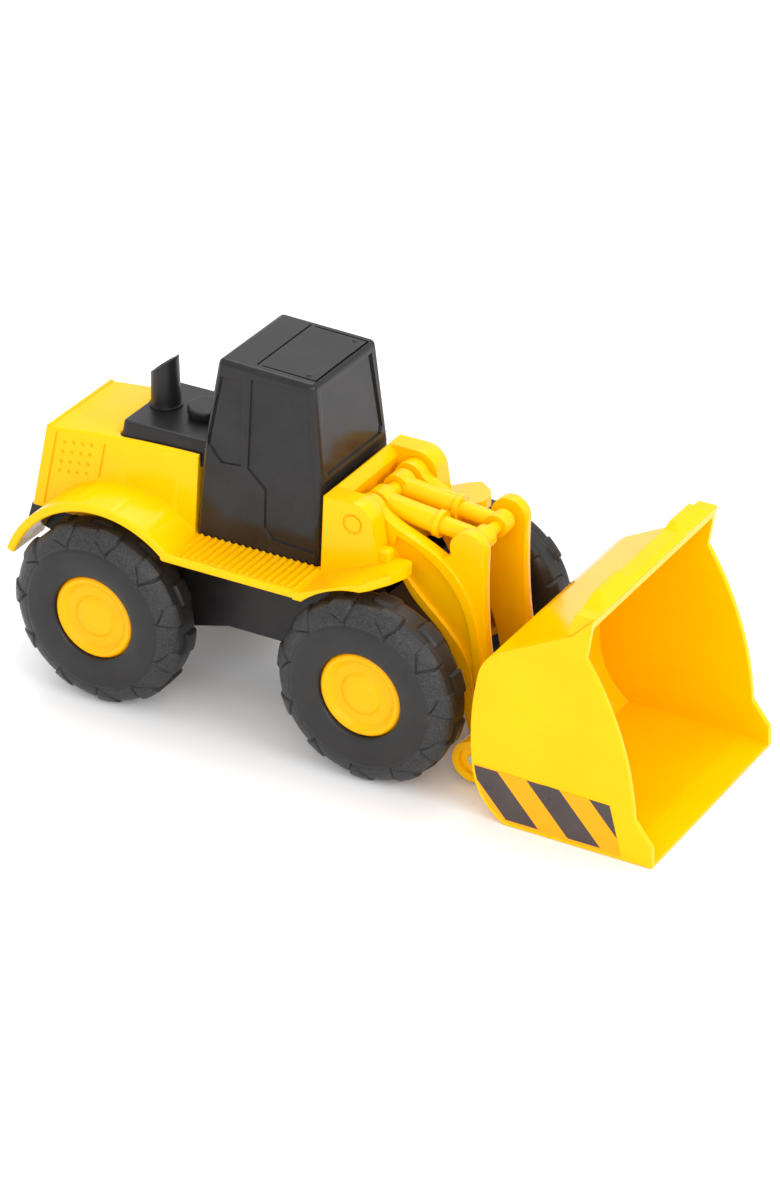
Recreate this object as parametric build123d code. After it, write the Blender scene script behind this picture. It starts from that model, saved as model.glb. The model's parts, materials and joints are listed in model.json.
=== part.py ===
"""Toy front loader (wheel loader), built as separate mouldings, axles and pins.

Working frame while modelling, in millimetres: x runs forward from the rear axle, y to the
machine's left, z up from the ground. Before export every piece is moved along x so that the
origin lies on the ground, under the middle of the whole machine's bounding box.
"""
from build123d import *
from math import asin, atan2, cos, degrees, radians, sin, sqrt
import os

# ---------------------------------------------------------------- driving sizes
# running gear
WHEELBASE = 90.0            # rear axle to front axle
TYRE_RADIUS = 29.0          # over the tread lugs
LUG_HEIGHT = 0.8            # tread lug above the tyre's casing
LUG_SIDE_SHARE = 0.8        # a lug's height on the shoulder, as a share of LUG_HEIGHT
LUG_COUNT = 11              # lugs round each half of the tread
LUG_LEAD = 16.0             # degrees from a lug's tip to its leading end
LUG_TRAIL = 2.5             # degrees from a lug's tip to its trailing end
LUG_TIP_RADIUS = 24.4       # how far a lug runs down the shoulder
LUG_PHASE = {"rear": 11.0, "front": 3.0}    # degrees, how each wheel stands
TYRE_INNER_Y = 26.8         # tyre's inner side plane
TYRE_OUTER_Y = 41.4         # tyre's outer side plane
RIM_RADIUS = 13.4           # seat of the hub in the tyre
HUB_RADIUS = 12.9           # raised ring on the hub's face
HUB_FACE_Y = 39.6           # face of the hub's raised ring
HUB_DISC_RADIUS = 5.8       # raised disc in the middle of the hub
AXLE_RADIUS = 1.5           # steel axle
AXLE_IN_HUB = 8.0           # length of axle pressed into each hub
AXLE_CLEARANCE = 0.08       # radial running fit of the axle in the chassis

# body heights and widths
BODY_WALL = 2.0             # moulded wall of the yellow shell
DECK_TOP = 54.6             # running board, beside the cab
DECK_THICKNESS = 2.6
FENDER_HALF_WIDTH = 36.0    # outer edge of fenders and running boards
FENDER_THICKNESS = 2.8
FENDER_EDGE_RADIUS = 0.9    # rounding along the fenders' and running boards' rims
HOOD_EDGE_RADIUS = 1.0
REAR_FENDER_RADIUS = 35.0   # top of the rear fender, about the rear axle
REAR_FENDER_END = 158.0     # degrees, rear tip of the rear fender
FRONT_ARCH_RADIUS = 31.3    # underside of the front fender, about the front axle

# hood
HOOD_REAR_FOOT = (-33.0, 49.6)
HOOD_REAR_TOP = (-29.2, 74.9)
HOOD_CREST = (-2.0, 77.6)
HOOD_FRONT_TOP = (23.6, 78.6)
HOOD_TOP_HALF_WIDTH = 17.6  # at the height of HOOD_REAR_TOP
HOOD_DRAFT = 0.125          # sideways growth per millimetre of drop
BEAD_RADIUS = 0.7           # raised bead along the rear top edge
DIMPLE_RADIUS = 0.55
DIMPLE_PITCH = 3.1
DIMPLES = 4                 # rows and columns of the dimpled grille
GROOVE_WIDTH = 0.7          # panel lines in the hood's sides
GROOVE_DEPTH = 0.35

# cab
CAB_FOOT_REAR = 23.8
CAB_WAIST_REAR = (26.5, 85.1)
CAB_ROOF_REAR = (31.2, 111.9)
CAB_ROOF_FRONT = (62.9, 110.8)
CAB_WAIST_FRONT = (66.2, 79.0)
CAB_FOOT_FRONT = 65.8
CAB_FOOT_HALF_WIDTH = 20.3
CAB_ROOF_HALF_WIDTH = 17.9
CAB_EDGE_RADIUS = 2.0
CAB_WALL = 1.8
WINDOW_DEPTH = 0.6          # how far the window panels lie below the frames

# engine cover, exhaust and air cleaner
COVER_REAR = -5.2
COVER_HALF_WIDTH = 16.2
COVER_TOP = 82.2
COVER_FOOT = 74.6           # the cover stands on the hood's inner ledge here
COVER_LEDGE = 1.5           # ledge thickness, and the cover's own wall
COVER_DRAFT = 1.3           # how far the cover's top edge lies inside its foot
EXHAUST_X = 1.9
EXHAUST_RADIUS = 4.2
EXHAUST_BORE = 3.0
EXHAUST_LOW = 92.5          # low side of the slanted mouth
EXHAUST_HIGH = 99.0         # high side of the slanted mouth
EXHAUST_SOCKET = 2.4        # depth of the spigot in the cover
CAP_X = 16.0
CAP_RADIUS = 5.8
CAP_HEIGHT = 3.4

# tower that carries the arms
TOWER_REAR = 67.0
TOWER_TOP = 79.4
TOWER_HALF_WIDTH = 22.0
TOWER_FRONT = 85.4
SLOT_HALF_WIDTH = 15.2      # inside faces of the cheeks
SLOT_FLOOR = 57.6           # deck between the cheeks
PIVOT = (77.7, 72.7)        # arm pivot, (x, z)
PIVOT_PIN_RADIUS = 2.5
PIN_CLEARANCE = 0.08        # radial running fit of arms and cylinders on their pins
PIN_RING_WIDTH = 0.7        # groove round the pin's end in the tower's cheek
PIN_RING_DEPTH = 0.5

# arms
ARM_INNER_Y = 10.3
BOOM_OUTER_Y = 14.8
HORN_OUTER_Y = 14.0
PIVOT_EYE_RADIUS = 4.8
FOOT_EYE_RADIUS = 5.6         # arms' eyes round the bucket pin
HORN_CENTRE = (110.4, 69.0)
HORN_RADIUS = 5.6
HORN_BAR_RADIUS = 2.0
WEB_DEPTH = 1.3             # recess in the boom's outer face

# tilt cylinders
CYLINDER_Y = 5.5
BARREL_RADIUS = 3.5
BARREL_LENGTH = 20.5        # from the arm pivot to the collar
COLLAR_RADIUS = 4.1
COLLAR_WIDTH = 1.8
ROD_RADIUS = 2.7

# bucket
BUCKET_PIN = (118.4, 7.6)   # bucket pivot, (x, z)
BUCKET_PIN_RADIUS = 1.75
EAR_RADIUS = 6.6
EAR_INNER_Y = 15.3
EAR_OUTER_Y = 24.6
EAR_RECESS_RADIUS = 4.4
EAR_RECESS_DEPTH = 1.4
BUCKET_HALF_WIDTH = 38.7
BUCKET_SIDE_WALL = 1.9
BUCKET_FLOOR_WALL = 1.8
LIP_X = 183.2
STRIPE_THICKNESS = 0.15

# chassis
CHASSIS_HALF_WIDTH = 20.0
CHASSIS_WALL = 2.2
BUMPER_REAR = -35.0
BELLY_Z = 26.4              # belly between the axles
AXLE_BOX_DROP = 8.0         # the belly under the axles lies this far below them
CHASSIS_FRONT = 98.0
CHASSIS_TOP_REAR = 49.6     # rim under the hood

# screws that hold the shell to the chassis
SCREW_X = (28.0, 58.0)
SCREW_Y = 12.0
SCREW_RADIUS = 1.2
SCREW_HEAD_RADIUS = 2.4
SCREW_LENGTH = 9.0
SCREW_HEAD_HEIGHT = 1.6
SCREW_SEAT_Z = 40.0         # underside of the screws' heads bears here
POST_RADIUS = 4.2
BOSS_FOOT_Z = 42.0          # the shell's bosses stand on the chassis posts here

EPS = 0.01
AXLE_Z = TYRE_RADIUS
DECK_BOTTOM = DECK_TOP - DECK_THICKNESS
OVERALL_CENTRE_X = (BUMPER_REAR + LIP_X) / 2


# ---------------------------------------------------------------- helpers
def polygon(*points):
    """Closed straight-sided outline through the given points."""
    return make_face(Polyline(*points, close=True))


def side_slab(profile, y_from, y_to):
    """Side profile, drawn as (x, z), pulled out between two y planes."""
    return Pos(0, y_to, 0) * extrude(Plane.XZ * profile, amount=y_to - y_from)


def cross_slab(section, x_from, x_to):
    """Cross section, drawn as (y, z), pulled out between two x planes."""
    return Pos(x_from, 0, 0) * extrude(Plane.YZ * section, amount=x_to - x_from)


def plan_slab(outline, z_from, z_to):
    """Plan outline, drawn as (x, y), pulled up between two z planes."""
    return Pos(0, 0, z_from) * extrude(outline, amount=z_to - z_from)


def bar_y(x, z, radius, y_from, y_to):
    """Round bar along y."""
    return side_slab(Pos(x, z) * Circle(radius), y_from, y_to)


def both_sides(solid):
    """The solid and its mirror image across the machine's middle."""
    return solid + mirror(solid, about=Plane.XZ)


def arc_band(centre, inner, outer, start, end):
    """Band between two radii, from start to end degrees."""
    sweep_angle = end - start
    outer_arc = CenterArc(centre, outer, start, sweep_angle)
    inner_arc = CenterArc(centre, inner, start, sweep_angle)
    edges = [outer_arc, Line(outer_arc @ 1, inner_arc @ 1), inner_arc, Line(inner_arc @ 0, outer_arc @ 0)]
    return make_face(edges)


def near(shape_list, x, z, reach=1.0):
    """The 2D vertices of a sketch within reach of (x, z)."""
    return [v for v in shape_list if sqrt((v.X - x) ** 2 + (v.Y - z) ** 2) < reach]


def place(solid):
    """Move a finished piece from the working frame to the export frame."""
    return Pos(-OVERALL_CENTRE_X, 0, 0) * solid


# ---------------------------------------------------------------- wheels and axles
def tyre_casing_profile(grow=0.0):
    """Half section of the tyre, (radius, y); grow lifts the tread and the outer shoulder."""
    tread = TYRE_RADIUS - LUG_HEIGHT + grow
    side_lift = grow * LUG_SIDE_SHARE
    outer_lip = (RIM_RADIUS + 0.9, TYRE_OUTER_Y - 0.8)
    side_top = (LUG_TIP_RADIUS, TYRE_OUTER_Y - 0.9 + side_lift)
    crown_end = (tread, TYRE_OUTER_Y - 4.8)
    inner_start = (tread, TYRE_INNER_Y + 2.6)
    inner_foot = (LUG_TIP_RADIUS, TYRE_INNER_Y)
    edges = [
        ThreePointArc(side_top, (19.5, TYRE_OUTER_Y), outer_lip),
        ThreePointArc(side_top, (tread - 1.1, TYRE_OUTER_Y - 2.4 + side_lift), crown_end),
        Line(crown_end, inner_start),
        ThreePointArc(inner_start, (tread - 0.9, TYRE_INNER_Y + 0.8), inner_foot),
        Line(inner_foot, (RIM_RADIUS, TYRE_INNER_Y)),
        Line((RIM_RADIUS, TYRE_INNER_Y), (RIM_RADIUS, HUB_FACE_Y + 0.6)),
        Line((RIM_RADIUS, HUB_FACE_Y + 0.6), outer_lip),
    ]
    return make_face(edges)


def turned(profile):
    """Section drawn as (radius, y), turned about the wheel's own y axis."""
    return revolve(profile, axis=Axis.Y)


def lug_wedge(angle, outer_half):
    """Prism over one lug: a V from its tip on the shoulder to its two ends on the tread."""
    reach = TYRE_RADIUS + 1.5
    lead, trail = (LUG_LEAD, LUG_TRAIL) if outer_half else (LUG_TRAIL, LUG_LEAD)
    corners = [(LUG_TIP_RADIUS, angle), (reach, angle + lead), (reach, angle - trail)]
    outline = polygon(*[(r * cos(radians(a)), r * sin(radians(a))) for r, a in corners])
    middle = (TYRE_INNER_Y + TYRE_OUTER_Y) / 2
    if outer_half:
        return side_slab(outline, middle, TYRE_OUTER_Y + 1)
    return side_slab(outline, TYRE_INNER_Y - 1, middle)


def tyre():
    """One tyre about its own axis, in its left-hand place along y, with a lug's tip at zero degrees."""
    casing = turned(tyre_casing_profile())
    envelope = turned(tyre_casing_profile(LUG_HEIGHT))
    pitch = 360.0 / LUG_COUNT
    wedges = [lug_wedge(i * pitch, True) for i in range(LUG_COUNT)]
    wedges += [lug_wedge((i + 0.5) * pitch, False) for i in range(LUG_COUNT)]
    lugs = envelope & Compound(children=[w.solid() for w in wedges])
    return casing + lugs


def hub():
    """Hub disc with its boss, about its own axis, in its left-hand place along y."""
    dish = 1.5
    boss_radius = 4.0
    boss_inner_y = TYRE_INNER_Y - 5.0
    web_y = HUB_FACE_Y - 5.0
    section = polygon(
        (0, boss_inner_y), (boss_radius, boss_inner_y), (boss_radius, web_y), (RIM_RADIUS - 2.0, web_y),
        (RIM_RADIUS - 2.0, TYRE_INNER_Y), (RIM_RADIUS, TYRE_INNER_Y), (RIM_RADIUS, HUB_FACE_Y - 1.2),
        (HUB_RADIUS, HUB_FACE_Y - 0.4), (HUB_RADIUS - 0.6, HUB_FACE_Y), (HUB_RADIUS - 1.6, HUB_FACE_Y),
        (HUB_RADIUS - 3.2, HUB_FACE_Y - dish), (HUB_DISC_RADIUS + 1.0, HUB_FACE_Y - dish),
        (HUB_DISC_RADIUS, HUB_FACE_Y - 0.7), (HUB_DISC_RADIUS - 1.4, HUB_FACE_Y - 0.3), (0, HUB_FACE_Y - 0.2),
    )
    bore = bar_y(0, 0, AXLE_RADIUS, boss_inner_y, boss_inner_y + AXLE_IN_HUB)
    return turned(section) - bore


def axle(x):
    """Steel axle from hub to hub."""
    half = TYRE_INNER_Y - 5.0 + AXLE_IN_HUB
    return bar_y(x, AXLE_Z, AXLE_RADIUS, -half, half)


def wheel_pieces():
    """Tyres, hubs and axles, by node name."""
    pieces = {}
    left_tyre = tyre()
    left_hub = hub()
    for end, x in (("rear", 0.0), ("front", WHEELBASE)):
        spot = Pos(x, 0, AXLE_Z)
        pieces[f"{end}_axle"] = axle(x)
        turned_tyre = Rot(0, -LUG_PHASE[end], 0) * left_tyre
        pieces[f"tyre_{end}_left"] = spot * turned_tyre
        pieces[f"tyre_{end}_right"] = spot * mirror(turned_tyre, about=Plane.XZ)
        pieces[f"wheel_hub_{end}_left"] = spot * left_hub
        pieces[f"wheel_hub_{end}_right"] = spot * mirror(left_hub, about=Plane.XZ)
    return pieces


# ---------------------------------------------------------------- yellow body shell
def hood_half_width(z):
    """Half width of the hood at height z."""
    return HOOD_TOP_HALF_WIDTH + (HOOD_REAR_TOP[1] - z) * HOOD_DRAFT


def hood_block(inset=0.0, foot=HOOD_REAR_FOOT[1]):
    """Solid of the hood's outside, or with an inset the space inside its walls."""
    lean = (HOOD_REAR_TOP[0] - HOOD_REAR_FOOT[0]) / (HOOD_REAR_TOP[1] - HOOD_REAR_FOOT[1])
    rear_foot = (HOOD_REAR_FOOT[0] + (foot - HOOD_REAR_FOOT[1]) * lean + inset, foot)
    rear_top = (HOOD_REAR_TOP[0] + inset, HOOD_REAR_TOP[1] - inset)
    crest = (HOOD_CREST[0], HOOD_CREST[1] - inset)
    front_top = (HOOD_FRONT_TOP[0] - inset, HOOD_FRONT_TOP[1] - inset)
    front_foot = (HOOD_FRONT_TOP[0] - inset, foot)
    profile = make_face([
        Line(rear_foot, rear_top),
        ThreePointArc(rear_top, crest, front_top),
        Line(front_top, front_foot),
        Line(front_foot, rear_foot),
    ])
    high = HOOD_FRONT_TOP[1] + 2
    wide, narrow = hood_half_width(foot) - inset, hood_half_width(high) - inset
    section = polygon((-wide, foot), (wide, foot), (narrow, high), (-narrow, high))
    block = side_slab(profile, -30, 30) & cross_slab(section, BUMPER_REAR - 5, HOOD_FRONT_TOP[0] + 1)
    rounded = [e for e in block.edges() if abs(e.center().Y) > 10 and e.center().X < HOOD_FRONT_TOP[0] - 1
               and e.center().Z > foot + 1]
    return fillet(rounded, max(HOOD_EDGE_RADIUS - inset / 2, 0.3))


def rounded_rim(solid):
    """A fender or board with its outer rim rounded."""
    outermost = [e for e in solid.edges() if abs(e.center().Y - FENDER_HALF_WIDTH) < EPS]
    rims = [e for e in outermost if e.length > 2 * FENDER_THICKNESS]
    return fillet(rims, FENDER_EDGE_RADIUS)


def rear_fenders():
    """Curved bands over the rear wheels."""
    inner = REAR_FENDER_RADIUS - FENDER_THICKNESS
    start = degrees(asin((DECK_BOTTOM - AXLE_Z) / inner))
    band = arc_band((0, AXLE_Z), inner, REAR_FENDER_RADIUS, start, REAR_FENDER_END)
    fender = side_slab(band, HOOD_TOP_HALF_WIDTH - BODY_WALL / 2, FENDER_HALF_WIDTH)
    return both_sides(rounded_rim(fender))


def deck():
    """Flat running boards and the floor under the cab."""
    rear = HOOD_FRONT_TOP[0] - BODY_WALL
    front = TOWER_REAR + 2
    outline = polygon((rear, 0), (front, 0), (front, FENDER_HALF_WIDTH), (rear, FENDER_HALF_WIDTH))
    arch = REAR_FENDER_RADIUS - FENDER_THICKNESS
    wheel_well = bar_y(0, AXLE_Z, arch, HOOD_TOP_HALF_WIDTH, FENDER_HALF_WIDTH + 1)
    return both_sides(rounded_rim(plan_slab(outline, DECK_BOTTOM, DECK_TOP)) - wheel_well)


def deck_ribs():
    """Fine anti-slip ribs across the running boards."""
    count, first, last, height = 18, 26.5, TOWER_REAR - 1.0, 0.8
    pitch = (last - first) / (count - 1)
    rib = polygon((-0.9, DECK_TOP), (0.9, DECK_TOP), (0.25, DECK_TOP + height), (-0.25, DECK_TOP + height))
    one = side_slab(rib, CAB_FOOT_HALF_WIDTH + 0.4, FENDER_HALF_WIDTH - 1.5)
    pair = (one, mirror(one, about=Plane.XZ))
    return [Pos(first + i * pitch, 0, 0) * half for half in pair for i in range(count)]


def front_fenders():
    """Rising boards over the front wheels, with a clipped outer corner and a rounded inner one."""
    tip_x, tip_top, tip_thickness = 97.0, 65.4, 3.4
    crown = (WHEELBASE, AXLE_Z + FRONT_ARCH_RADIUS)
    arch_foot = (WHEELBASE - sqrt(FRONT_ARCH_RADIUS ** 2 - (DECK_BOTTOM - AXLE_Z) ** 2), DECK_BOTTOM)
    arch_lean = radians(113)
    arch_middle = (WHEELBASE + FRONT_ARCH_RADIUS * cos(arch_lean),
                   AXLE_Z + FRONT_ARCH_RADIUS * sin(arch_lean))
    profile = make_face([
        Polyline(arch_foot, (TOWER_REAR - 1, DECK_BOTTOM), (TOWER_REAR - 1, DECK_TOP),
                 (TOWER_REAR + 1, DECK_TOP), (83.5, 61.2), (tip_x, tip_top),
                 (tip_x, tip_top - tip_thickness), crown),
        ThreePointArc(crown, arch_middle, arch_foot),
    ])
    inner_corner = (tip_x, SLOT_HALF_WIDTH + 5.5)
    outline = polygon((TOWER_REAR - 1, SLOT_HALF_WIDTH), (86.5, SLOT_HALF_WIDTH), inner_corner,
                      (tip_x, 25.0), (94.4, 29.5), (88.0, FENDER_HALF_WIDTH),
                      (TOWER_REAR - 1, FENDER_HALF_WIDTH))
    outline = fillet(near(outline.vertices(), *inner_corner), 3.0)
    board = side_slab(profile, 0, FENDER_HALF_WIDTH) & plan_slab(outline, DECK_BOTTOM - 5, tip_top + 5)
    return both_sides(board)


def tower():
    """Two cheeks with the arm slot between them, and the sloped wall behind the slot."""
    nose_radius = 6.6
    nose = (TOWER_FRONT - 1.9, TOWER_TOP)
    cheek = polygon((TOWER_REAR, DECK_BOTTOM), (TOWER_REAR + 1.3, TOWER_TOP), nose, (TOWER_FRONT, 66.0),
                    (TOWER_FRONT + 1.0, DECK_TOP), (TOWER_FRONT - 5.0, DECK_BOTTOM))
    cheek = fillet(near(cheek.vertices(), *nose), nose_radius)
    cheeks = both_sides(side_slab(cheek, SLOT_HALF_WIDTH, TOWER_HALF_WIDTH))
    back = polygon((TOWER_REAR, DECK_BOTTOM), (TOWER_REAR + 1.3, TOWER_TOP), (TOWER_REAR + 1.9, TOWER_TOP),
                   (TOWER_REAR + 4.2, 76.2), (TOWER_REAR + 3.6, SLOT_FLOOR), (TOWER_FRONT - 4.0, SLOT_FLOOR),
                   (TOWER_FRONT - 4.0, DECK_BOTTOM))
    back_wall = side_slab(back, -SLOT_HALF_WIDTH, SLOT_HALF_WIDTH)
    pocket_top = PIVOT[1] - PIVOT_PIN_RADIUS - 2.5
    pocket = polygon((TOWER_REAR + 2.2, DECK_BOTTOM - 1), (TOWER_REAR + 2.6, pocket_top),
                     (TOWER_FRONT - 2.4, pocket_top), (TOWER_FRONT - 2.4, DECK_BOTTOM - 1))
    pockets = both_sides(side_slab(pocket, SLOT_HALF_WIDTH + 1.8, TOWER_HALF_WIDTH - 1.8))
    return cheeks + back_wall, pockets


def front_lamps():
    """Rounded lamp blocks at the front of the cheeks."""
    block = Pos(TOWER_FRONT + 1.4, 18.6, 63.2) * Box(4.4, 4.2, 6.0)
    block = fillet(block.edges(), 1.3)
    return both_sides(block)


def hood_markings():
    """Cutters for the panel lines and the dimpled grille in the hood's sides."""
    lean = (HOOD_REAR_TOP[0] - HOOD_REAR_FOOT[0]) / (HOOD_REAR_TOP[1] - HOOD_REAR_FOOT[1])
    skin = hood_block() - hood_block(GROOVE_DEPTH)
    z_high = HOOD_REAR_TOP[1] - 0.8
    cutters = []
    for x_top, z_low in ((-25.4, 51.0), (-8.6, 63.6)):
        x_low = x_top - (z_high - z_low) * lean
        line = polygon((x_low, z_low), (x_low + GROOVE_WIDTH, z_low),
                       (x_top + GROOVE_WIDTH, z_high), (x_top, z_high))
        cutters.append(side_slab(line, 12, 24) & skin)
    first_x, first_z, step_up = -22.3, 71.6, 0.4
    for row in range(DIMPLES):
        for column in range(DIMPLES):
            z = first_z - row * DIMPLE_PITCH + column * step_up
            x = first_x + column * DIMPLE_PITCH - row * DIMPLE_PITCH * lean
            cutters.append(Pos(x, hood_half_width(z), z) * Sphere(DIMPLE_RADIUS))
    return cutters


def rear_grille():
    """Cutters for the louvre lines across the hood's rear face."""
    lean = (HOOD_REAR_TOP[0] - HOOD_REAR_FOOT[0]) / (HOOD_REAR_TOP[1] - HOOD_REAR_FOOT[1])
    lines, pitch, height, half_width = 5, 3.4, 1.3, 12.0
    cutters = []
    for i in range(lines):
        z = 55.0 + i * pitch
        x = HOOD_REAR_FOOT[0] + (z - HOOD_REAR_FOOT[1]) * lean
        cutters.append(Pos(x, 0, z) * Box(1.2, 2 * half_width, height))
    return cutters


def upright_pegs(radius, z_from, z_to):
    """Round uprights on the four screw axes."""
    return [Pos(x, y, z_from) * Cylinder(radius, z_to - z_from, align=(Align.CENTER, Align.CENTER, Align.MIN))
            for x in SCREW_X for y in (-SCREW_Y, SCREW_Y)]


def cover_outline(inset=0.0):
    """Plan of the engine cover's foot, with its two rear corners rounded."""
    rear, front, half = COVER_REAR + inset, CAB_WAIST_REAR[0] + 2, COVER_HALF_WIDTH - inset
    outline = polygon((rear, -half), (front, -half), (front, half), (rear, half))
    corners = near(outline.vertices(), rear, half) + near(outline.vertices(), rear, -half)
    return fillet(corners, 3.0)


def cover_seat():
    """Ledge inside the hood that the engine cover stands on."""
    rear, front, half = COVER_REAR - 2.5, HOOD_FRONT_TOP[0], HOOD_TOP_HALF_WIDTH - BODY_WALL / 2
    plate = plan_slab(polygon((rear, -half), (front, -half), (front, half), (rear, half)),
                      COVER_FOOT - COVER_LEDGE, COVER_FOOT)
    return plate - plan_slab(cover_outline(COVER_LEDGE), COVER_FOOT - 2 * COVER_LEDGE, COVER_FOOT + 1)


def rear_bead():
    """Raised bead along the hood's rear top edge."""
    x, z = HOOD_REAR_TOP[0] + 0.9, HOOD_REAR_TOP[1] + 0.05
    half = HOOD_TOP_HALF_WIDTH - 0.6
    return bar_y(x, z, BEAD_RADIUS, -half, half)


def body_shell():
    """Hood, fenders, running boards and arm tower in one moulding."""
    tower_solid, pockets = tower()
    shell = hood_block() + rear_fenders()
    shell -= hood_block(BODY_WALL, foot=DECK_BOTTOM - 12)
    shell += deck() + front_fenders() + tower_solid + front_lamps()
    shell = shell + cover_seat() + rear_bead()
    shell -= pockets
    shell -= side_slab(chassis_outline(), -CHASSIS_HALF_WIDTH, CHASSIS_HALF_WIDTH)
    for boss in upright_pegs(POST_RADIUS - 0.8, BOSS_FOOT_Z, DECK_BOTTOM + 1):
        shell += boss
    shell -= plan_slab(cover_outline(), COVER_FOOT, COVER_TOP)
    shell -= bar_y(*PIVOT, PIVOT_PIN_RADIUS, -TOWER_HALF_WIDTH - 1, TOWER_HALF_WIDTH + 1)
    shell -= both_sides(bar_y(*PIVOT, PIVOT_PIN_RADIUS + PIN_RING_WIDTH, TOWER_HALF_WIDTH - PIN_RING_DEPTH,
                              TOWER_HALF_WIDTH + 1))
    for hole in upright_pegs(SCREW_RADIUS, BOSS_FOOT_Z - 1, SCREW_SEAT_Z + SCREW_LENGTH + 0.5):
        shell -= hole
    markings = hood_markings()
    for cutter in markings + [mirror(c, about=Plane.XZ) for c in markings] + rear_grille():
        shell -= cutter
    for rib in deck_ribs():
        shell += rib
    return shell


# ---------------------------------------------------------------- chassis
def chassis_outline(inset=0.0, top_extra=0.0):
    """Side profile of the chassis tub."""
    low = AXLE_Z - AXLE_BOX_DROP + inset
    belly = BELLY_Z + inset
    top = CHASSIS_TOP_REAR + top_extra
    deck_top = DECK_BOTTOM + top_extra
    step = HOOD_FRONT_TOP[0]
    return polygon(
        (BUMPER_REAR + inset, 44.4), (BUMPER_REAR + 1.6 + inset, top), (step, top), (step, deck_top),
        (86.0 - inset, deck_top), (92.5 - inset, 44.5), (CHASSIS_FRONT - inset, 38.0),
        (CHASSIS_FRONT - inset, low),
        (76.0, low), (56.0, belly), (34.4, belly), (14.0, low), (-12.0, low), (-24.0, 41.0 + inset),
    )


def chassis():
    """Black tub with its axle boxes, bumper and screw posts."""
    tub = side_slab(chassis_outline(), -CHASSIS_HALF_WIDTH, CHASSIS_HALF_WIDTH)
    inner = CHASSIS_HALF_WIDTH - CHASSIS_WALL
    tub -= side_slab(chassis_outline(CHASSIS_WALL, 5.0), -inner, inner)
    box_half = 5.0
    for x in (0.0, WHEELBASE):
        block = polygon((x - box_half, AXLE_Z - AXLE_BOX_DROP), (x + box_half, AXLE_Z - AXLE_BOX_DROP),
                        (x + box_half, AXLE_Z + box_half), (x - box_half, AXLE_Z + box_half))
        tub += side_slab(block, -CHASSIS_HALF_WIDTH, CHASSIS_HALF_WIDTH)
        tub -= bar_y(x, AXLE_Z, AXLE_RADIUS + AXLE_CLEARANCE, -CHASSIS_HALF_WIDTH - 1, CHASSIS_HALF_WIDTH + 1)
    for post in upright_pegs(POST_RADIUS, BELLY_Z - 3, BOSS_FOOT_Z):
        tub += post
    for well in upright_pegs(SCREW_HEAD_RADIUS + 0.3, 0, SCREW_SEAT_Z):
        tub -= well
    for hole in upright_pegs(SCREW_RADIUS + 0.15, SCREW_SEAT_Z - 1, BOSS_FOOT_Z + 1):
        tub -= hole
    return tub


def chassis_screws():
    """Four self-tapping screws, head down, as separate solids."""
    screws = []
    shanks = upright_pegs(SCREW_RADIUS, SCREW_SEAT_Z - 0.5, SCREW_SEAT_Z + SCREW_LENGTH)
    heads = upright_pegs(SCREW_HEAD_RADIUS, SCREW_SEAT_Z - SCREW_HEAD_HEIGHT, SCREW_SEAT_Z)
    for shank, head in zip(shanks, heads):
        centre = head.center()
        slot = Pos(centre.X, centre.Y, SCREW_SEAT_Z - SCREW_HEAD_HEIGHT)
        cross = slot * Box(2.6, 0.6, 1.2) + slot * Box(0.6, 2.6, 1.2)
        screws.append((shank + head - cross).solid())
    return Compound(children=screws)


# ---------------------------------------------------------------- cab
def cab_half_width(z):
    """Half width of the cab at height z."""
    share = (z - DECK_TOP) / (CAB_ROOF_FRONT[1] - DECK_TOP)
    return CAB_FOOT_HALF_WIDTH + (CAB_ROOF_HALF_WIDTH - CAB_FOOT_HALF_WIDTH) * share


def cab_block(inset=0.0, foot=DECK_TOP):
    """Solid of the cab's outside, or with an inset the space inside its walls."""
    profile = polygon(
        (CAB_FOOT_REAR + inset, foot), (CAB_WAIST_REAR[0] + inset, CAB_WAIST_REAR[1]),
        (CAB_ROOF_REAR[0] + inset, CAB_ROOF_REAR[1] - inset),
        (CAB_ROOF_FRONT[0] - inset, CAB_ROOF_FRONT[1] - inset),
        (CAB_WAIST_FRONT[0] - inset, CAB_WAIST_FRONT[1]), (CAB_FOOT_FRONT - inset, foot),
    )
    high = CAB_ROOF_FRONT[1] + 2
    wide, narrow = cab_half_width(foot) - inset, cab_half_width(high) - inset
    section = polygon((-wide, foot), (wide, foot), (narrow, high), (-narrow, high))
    return side_slab(profile, -30, 30) & cross_slab(section, CAB_FOOT_REAR - 5, CAB_WAIST_FRONT[0] + 5)


def rounded_cab(inset=0.0):
    """The cab block with its upright and roof edges rounded."""
    block = cab_block(inset)
    edges = [e for e in block.edges() if e.center().Z > DECK_TOP + 1 and e.length > 5]
    return fillet([e for e in edges if not is_flat_bend(e)], CAB_EDGE_RADIUS)


def is_flat_bend(edge):
    """True for the slight bends at waist height, which stay crisp."""
    middle = edge.center()
    return abs(middle.Y) < 1 and middle.Z < CAB_ROOF_REAR[1] - 5


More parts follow.
